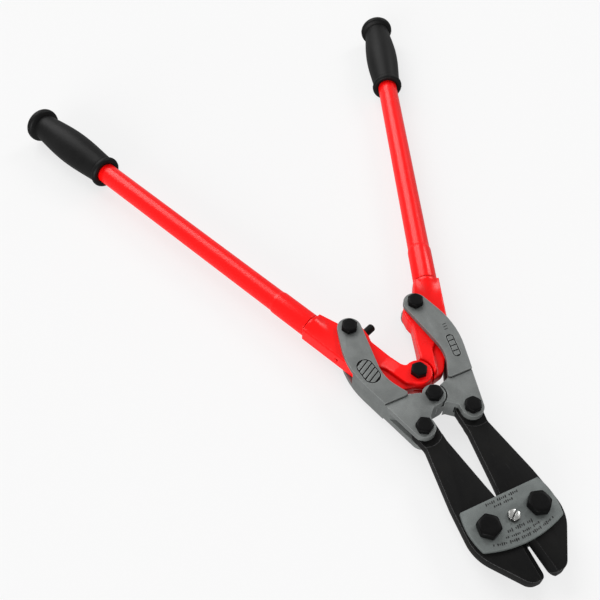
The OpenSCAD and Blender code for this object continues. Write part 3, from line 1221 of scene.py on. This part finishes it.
@dataclass
class Head(Builder):
    """The cover plates, the blade bolts and the centre screw, which hold the two blades."""

    edge: float = 0.7 * MM
    screw_edge: float = 0.2 * MM
    mark_width: float = 0.6 * MM
    mark_rise: float = 0.35 * MM
    mark_sink: float = 0.3 * MM
    mark_slant: float = 0.22
    mark_pitch: float = 2.25 * MM
    group: int = 6
    arc_r: float = 129 * MM
    arc_front: float = 27 * MM
    size: Fastener = LARGE_BOLT
    turns: tuple[float, float] = (49.0, 73.0)
    nut_turn: float = 12.0

    def build(self) -> None:
        """Builds and dresses every piece of the head."""
        for node in ("cover_plate_top", "cover_plate_bottom"):
            self.enter(machined(node, self.edge), "head", Slot.PLATE, node)
        # the raised marks take the blades' black as painted shade, standing in for the shadows round raised lettering
        self.enter(self.marks(), "head", Slot.BLADE)
        self.blade_fasteners()
        self.enter(machined("centre_screw", self.screw_edge), "head", Slot.ZINC, "centre_screw")
        for node in ("centre_nut", "centre_spacer"):
            self.palette.repaint(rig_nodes()[node], Slot.ZINC)

    def marks(self) -> Piece:
        """Raised plain bars on the top plate, in three short straight rows and two rows along its front arc.

        The bars of a row lie side by side at one slant, in unlike lengths, with a gap after every five. A row
        is its distance behind the blade bolts, its number of places and its longest bar's half length, with
        lengths in millimetres.

        Returns:
            The new piece.
        """
        straight = [(21.2, 17, 1.65), (16.4, 11, 1.5), (-11.0, 13, 2.2)]
        curved = [(-17.0, 19, 1.4), (-21.8, 33, 1.8)]
        arc_middle = self.arc_r - self.arc_front
        places, turns, halves = [], [], []
        for row, (y, count, tall) in enumerate(straight + curved):
            place = np.arange(count)
            keep = place[(place + row) % self.group != self.group - 1]
            along = (keep - (count - 1) / 2) * self.mark_pitch
            if row < len(straight):
                spread = np.stack([along, np.full_like(along, y * MM)], axis=1)
                lean = np.zeros_like(along)
            else:
                lean = along / self.arc_r
                radius = arc_middle - y * MM
                spread = np.stack([radius * np.sin(lean), arc_middle - radius * np.cos(lean)], axis=1)
            length = tall * (0.72 + 0.28 * np.cos(keep * 1.9 + row)) * MM
            places.append(spread)
            turns.append(lean + math.pi / 2 - self.mark_slant)
            halves.append(np.stack([length, np.full_like(length, self.mark_width)], axis=1))
        centre = (pivot("blade", Side.LEFT) + pivot("blade", Side.RIGHT)) / 2
        flat = np.concatenate(places) + centre[:2]
        at = np.column_stack([flat, np.full(len(flat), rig.box("cover_plate_top")[1].z)])
        sizes = np.concatenate(halves)
        return bars("cover_plate_marks", at, np.concatenate(turns), sizes, self.mark_sink, self.mark_rise)

    def blade_fasteners(self) -> None:
        """Builds the two blade bolts as one piece, and their nuts as another."""
        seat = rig.box("cover_plate_top")[1].z
        low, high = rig.box("blade_bolts")
        nut_low, nut_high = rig.box("blade_nuts")
        bolts, nuts = [], []
        for side, turn in zip(Side, self.turns):
            x, y, _ = pivot("blade", side)
            foot = Axis.upright(x, y, low.z)
            bolts.append(self.size.bolt("bolt", foot, seat - low.z, high.z - low.z, nut_high.z - low.z, turn))
            foot = Axis.upright(x, y, nut_low.z)
            nuts.append(self.size.nut("nut", foot, nut_high.z - nut_low.z, self.nut_turn * side.value))
        self.enter(joined("blade_bolts_look", bolts), "head", Slot.BOLT, "blade_bolts")
        self.enter(joined("blade_nuts_look", nuts), "head", Slot.BOLT, "blade_nuts")


@dataclass
class Blade(Builder):
    """One forged blade, from its jaw to the round tail inside the link."""

    side: Side = Side.LEFT
    edge: float = 0.55 * MM

    def build(self) -> None:
        """Builds and dresses the blade."""
        node = self.side.node("blade")
        self.enter(machined(node, self.edge), node, Slot.BLADE, node)


@dataclass(frozen=True)
class Badge:
    """A sunk slot-shaped field on a link, placed from the handle's pivot towards the pivot of the links.

    Its own line leans, in degrees, from the line between those pivots. Plain strokes may stand before it.
    """

    along: float
    out: float
    lean: float
    length: float
    radius: float
    strokes: int = 0
    deep: float = 0.8 * MM
    play: float = 0.05 * MM
    stroke_half: tuple[float, float] = (2.6 * MM, 0.55 * MM)
    stroke_pitch: float = 3.6 * MM
    stroke_gap: float = 3.2 * MM
    stroke_turn: float = 0.25


@dataclass
class Link(Builder):
    """One link between a blade's tail and its handle, with the bolts that ride in it."""

    side: Side = Side.LEFT
    edge: float = 0.8 * MM
    badge: Badge = Badge(55.0 * MM, 28.5 * MM, 14.35, 33 * MM, 10 * MM)
    turns: dict[str, float] = field(default_factory=dict)
    nut_turn: float = 1.7

    def build(self) -> None:
        """Builds and dresses the link and its fasteners."""
        body = self.side.node("link")
        self.enter(machined(body, self.edge), body, Slot.CAST, body)
        self.enter(self.lacquer(), body, Slot.BLADE)
        middle_z = pivot("link", self.side)[2]
        for stem, turn in self.turns.items():
            bolt, nut = self.names(stem)
            seat = 2 * middle_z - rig.box(nut)[1].z
            self.bolt(SMALL_BOLT, bolt, body, seat, nut, turn)
            self.nut(SMALL_BOLT, nut, body, turn * self.nut_turn)

    def lacquer(self) -> Piece:
        """Dark lacquer in the sunk field of the badge, round the bars, and plain strokes beside it.

        Each ring of the lacquer is a share of the field's outline, a straight core with round ends, at a
        height in millimetres above the field's floor.

        Returns:
            The new piece.
        """
        badge = self.badge
        start = pivot("handle", self.side)
        line = (middle("link_pivot_bolt") - start) * LEVEL
        line /= np.linalg.norm(line)
        out = np.array([-line[1], line[0], 0])
        out *= np.sign(out[0]) * self.side.value
        lean = math.radians(badge.lean)
        way = line * math.cos(lean) + out * math.sin(lean)
        turned = line * math.sin(lean) - out * math.cos(lean)
        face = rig.box(self.side.node("link"))[1].z
        at = (start + line * badge.along + out * badge.out) * LEVEL

        count = 64
        angle = np.arange(count) * FULL_TURN / count
        reach = np.stack([np.cos(angle), np.sin(angle)], axis=1)
        core = np.sign(reach[:, :1]) * (badge.length / 2) * np.array([[1.0, 0.0]])
        rings = np.array([(0, -0.1), (1, -0.1), (1, 0.42), (0.93, 0.3), (0.6, 0.25), (0.3, 0.25), (0, 0.25)])
        flat = rings[:, 0, None, None] * (core + (badge.radius - badge.play) * reach)[None]
        height = face - badge.deep + rings[:, 1, None] * MM * np.ones(count)
        points = at + flat[..., :1] * way + flat[..., 1:] * turned + height[..., None] * UP
        name = self.side.node("badge_lacquer")
        film = shown(name, points.reshape(-1, 3), lattice(len(rings), count, False), crease=60)
        if not badge.strokes:
            return film
        step = np.arange(badge.strokes)[:, None] * badge.stroke_pitch
        spots = at + face * UP - way * (badge.length / 2 + badge.radius + badge.stroke_gap + step)
        turn = np.full(badge.strokes, math.atan2(turned[1], turned[0]) + badge.stroke_turn)
        half = np.tile([badge.stroke_half], (badge.strokes, 1))
        return joined(name, [film, bars("strokes", spots, turn, half, 0.3 * MM, 0.06 * MM)])

    def names(self, stem: str) -> tuple[str, str]:
        """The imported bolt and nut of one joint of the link."""
        if stem == "link_pivot":
            return "link_pivot_bolt", "link_pivot_nut"
        return self.side.node(f"{stem}_bolt"), self.side.node(f"{stem}_nut")


@dataclass
class Handle(Builder):
    """One handle: the casting, the tube on its spigot, and the rubber grip."""

    side: Side = Side.LEFT
    skin: float = 0.8 * MM
    flow: int = 14
    kept: float = 0.6
    tube_r: float = 13.5 * MM
    wall: float = 2.3 * MM
    swell: float = 1.0 * MM
    swell_len: float = 50 * MM
    joint: float = 0.7 * MM
    nose_len: float = 44 * MM
    waist_r: float = 19.3 * MM
    belly: float = 4.0 * MM
    flange_r: float = 24.0 * MM
    collar_r: float = 21.5 * MM
    grip_columns: int = 128
    line_width: float = 0.035
    line_rise: float = 0.22 * MM

    def build(self) -> None:
        """Builds and dresses every piece of the handle."""
        body = self.side.node("handle")
        casting, tube, grip = (self.side.node(stem) for stem in ("handle_casting", "handle_tube", "grip"))
        axis = Axis.through(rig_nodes()[tube], np.array([0.0, 1.0, 0.0]))
        self.enter(self.casting(casting, axis), body, Slot.RED, casting)
        self.enter(self.tube(tube, axis), body, Slot.RED, tube)
        self.enter(self.grip(grip, axis), body, Slot.GRIP, grip)

    def casting(self, node: str, axis: Axis) -> Piece:
        """The casting, with the socket's nose flowing into the flat web.

        The points that are eased most lie near the tube's axis and just before the socket's shoulder.

        Args:
            node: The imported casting.
            axis: The tube's axis, from the socket's end.

        Returns:
            The new piece.
        """
        shoulder = 4 * MM
        piece = cast(node, self.skin, self.flow, self.kept)
        away = vertices(piece) - axis.foot
        along = away @ axis.along
        across = np.linalg.norm((away - along[:, None] * axis.along)[:, :2], axis=1)
        behind = ramp(along + self.nose_len, 6 * MM) * ramp(-shoulder - along, 5 * MM)
        beside = ramp(self.tube_r + 1 * MM - across, 4 * MM)
        return eased(piece, behind * beside, 150)

    def tube(self, node: str, axis: Axis) -> Piece:
        """The tube: widened over the spigot, tapering to its plain size, and open at both ends.

        Args:
            node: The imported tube.
            axis: The tube's axis, from the end at the casting.

        Returns:
            The new piece.
        """
        length = extent(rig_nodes()[node], axis)
        wide = self.tube_r + self.swell
        taper, rolled, cut = 5 * MM, 0.6 * MM, 0.5 * MM
        share = np.linspace(0, 1, 9)
        eased_in = wide - self.swell * (3 * share**2 - 2 * share**3)
        bore, wide_bore = self.tube_r - self.wall, wide - self.wall
        profile = np.concatenate([
            arc((wide - rolled, self.joint + rolled), (rolled, rolled), -90, 0, 5),
            np.stack([eased_in, self.swell_len + taper * share], axis=1),
            [[self.tube_r, length / 2]],
            arc((self.tube_r - cut, length - cut), (cut, cut), 0, 90, 5),
            [[bore, length], [bore, self.swell_len + taper + 6 * MM]],
            [[wide_bore, self.swell_len + taper + 4 * MM], [wide_bore, self.joint]],
        ])
        return profile_spun(f"{node}_look", axis, profile, 96, loop=True)

    def grip(self, node: str, axis: Axis) -> Piece:
        """The grip: a rolled collar, a body with a belly, a neck, a domed flange and two mould lines.

        The body's radius is the waist, plus the belly times a sine's arch to a power, less a cube towards the
        neck. The mould lines are narrow bells of the angle.

        Args:
            node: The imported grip.
            axis: The tube's axis.

        Returns:
            The new piece.
        """
        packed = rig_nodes()[node]
        axis = Axis(middle_on(axis, packed), axis.along)
        length = extent(packed, axis)
        mouth, mouth_len, flare = self.tube_r + 0.1 * MM, 12 * MM, 2.5 * MM
        lip, collar, rim = 3.4 * MM, 9 * MM, 5.2 * MM
        start, neck = collar + 1.5 * MM, length - 13 * MM
        share = np.linspace(0, 1, 40)
        body = self.waist_r + self.belly * np.sin(math.pi * share) ** 1.3 - 1.2 * MM * share**3
        profile = np.concatenate([
            [[0, mouth_len], [mouth, mouth_len], [mouth, flare]],
            arc((mouth + 2 * MM, flare), (2 * MM, 1.5 * MM), 180, 270, 6),
            arc((self.collar_r - lip, collar / 2), (lip, collar / 2), -90, 75, 14),
            np.stack([body, start + (neck - start) * share], axis=1),
            arc((self.flange_r - rim * 0.55, length - rim - 1.2 * MM), (rim * 0.55, rim), -70, 65, 14),
            [[self.flange_r * part, length - 1.5 * MM * part**2] for part in (0.86, 0.7, 0.5, 0.3, 0.12)],
            [[0, length]],
        ])
        angle = np.arange(self.grip_columns)[None, :] * FULL_TURN / self.grip_columns
        line = np.exp(-((np.sin(angle) / self.line_width) ** 2))
        outside = profile[:, :1] > mouth + 3 * MM
        radius = profile[:, :1] + self.line_rise * line * outside
        return spun(f"{node}_look", axis, radius, profile[:, 1:] * np.ones_like(angle), crease=60)


@dataclass
class HandlePivot(Builder):
    """The bolt that joins the two handles, and the rubber stop beside it."""

    turn: float = 84.0
    nut_turn: float = 20.0

    def build(self) -> None:
        """Builds and dresses the bolt, its nut and the stop.

        The bolt is slim, because the right casting turns about it with play.
        """
        nut = "handle_pivot_nut"
        seat = 2 * pivot("handle", Side.RIGHT)[2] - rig.box(nut)[1].z
        self.bolt(SLIM_BOLT, "handle_pivot_bolt", "handle_left", seat, nut, self.turn)
        self.nut(SLIM_BOLT, nut, "handle_left", self.nut_turn)
        self.enter(self.stop(), "handle_left", Slot.STOP, "stop_bumper")

    def stop(self) -> Piece:
        """The stop: a slim stem in the casting and a round-ended rubber nose.

        Returns:
            The new piece.
        """
        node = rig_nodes()["stop_bumper"]
        axis = Axis.through(node, np.array([1.0, 0.0, 0.0]))
        length = extent(node, axis)
        nose_r, stem_r, lip, edge = 4.8 * MM, 2.3 * MM, 2.0 * MM, 0.5 * MM
        nose = 14.2 * MM
        profile = np.concatenate([
            [[0, 0], [stem_r, 0], [stem_r, length - nose], [nose_r - edge, length - nose]],
            arc((nose_r - edge, length - nose + edge), (edge, edge), -90, 0, 4),
            arc((nose_r - lip, length - lip), (lip, lip), 0, 90, 9),
            [[0, length]],
        ])
        return profile_spun("stop_bumper_look", axis, profile, 48, crease=50)


# ---------- studio ----------


@dataclass
class Studio:
    """A pale floor, soft light and the camera."""

    camera_at: tuple[float, float, float] = (-0.3321, -0.5843, 0.8069)
    camera_turn: tuple[float, float, float] = (38.15, 0.0, -25.04)
    lens: float = 50.0
    floor_reach: float = 6.0
    floor_level: float = -0.3 * MM
    sky: float = 0.43

    def build(self) -> None:
        """Sets up the studio."""
        self.floor()
        self.lights()
        self.camera()
        bpy.context.scene.view_settings.view_transform = "Standard"

    def floor(self) -> None:
        """A wide plane just under the tool, which doesn't show in the paint's reflections."""
        square = np.array([[-1, -1], [1, -1], [1, 1], [-1, 1]]) * self.floor_reach
        points = np.column_stack([square, np.full(len(square), self.floor_level)])
        floor = shown("floor", points, np.array([[0, 1, 2, 3]]))
        floor.data.materials.append(PaleFloor().material())
        floor.visible_glossy = False
        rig.stage(floor)

    def lights(self) -> None:
        """Even light from all round, and broad suns that shape the round pieces."""
        world = bpy.data.worlds.new("studio")
        bpy.context.scene.world = world
        world.use_nodes = True
        background = world.node_tree.nodes["Background"]
        background.inputs["Color"].default_value = (1, 1, 1, 1)
        background.inputs["Strength"].default_value = self.sky
        self.sun("back", 1.75, 42, (-0.14, 0.73, 0.66))
        self.sun("key", 0.75, 20, (0.75, 0.27, 0.6))
        self.sun("low", 3.1, 40, (-0.72, -0.66, 0.21))

    def sun(self, name: str, strength: float, softness: float, source: tuple[float, float, float]) -> None:
        """Adds one broad sun.

        Args:
            name: Its name.
            strength: Its strength.
            softness: Its angle across, in degrees.
            source: The direction that its light comes from.
        """
        light = bpy.data.lights.new(name, "SUN")
        light.energy = strength
        light.angle = math.radians(softness)
        lamp = bpy.data.objects.new(name, light)
        lamp.rotation_euler = Vector(source).to_track_quat("Z", "Y").to_euler()
        bpy.context.scene.collection.objects.link(lamp)

    def camera(self) -> None:
        """The camera, above the jaws and to their left."""
        data = bpy.data.cameras.new("camera")
        data.lens = self.lens
        camera = bpy.data.objects.new("camera", data)
        camera.location = self.camera_at
        camera.rotation_euler = [math.radians(angle) for angle in self.camera_turn]
        bpy.context.scene.collection.objects.link(camera)
        bpy.context.scene.camera = camera


def corners(box: Any) -> list[list[float]]:
    """A box's two corners as plain lists."""
    return [[float(value) for value in corner] for corner in box]


def main() -> None:
    """Builds the studio and every sub-assembly, and notes the size before and after."""
    logging.basicConfig(level=logging.INFO, format="%(message)s")
    cad_box = corners(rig.bounds())
    Studio().build()
    palette = Palette()
    right_badge = Badge(63.6 * MM, 32.7 * MM, 9.35, 31 * MM, 4.6 * MM, strokes=3)
    assemblies = [
        Head(palette),
        Blade(palette, Side.LEFT),
        Blade(palette, Side.RIGHT),
        Link(palette, Side.LEFT, turns={"tail": 58.0, "link_pivot": 60.0, "handle": 87.0}),
        Link(palette, Side.RIGHT, badge=right_badge, turns={"tail": 32.0, "handle": 35.0}),
        Handle(palette, Side.LEFT),
        Handle(palette, Side.RIGHT),
        HandlePivot(palette),
    ]
    for assembly in assemblies:
        assembly.build()
    with open(SIZE_FILE, "w") as out:
        json.dump({"cad": cad_box, "visual": corners(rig.bounds())}, out)


if __name__ == "__main__":
    main()
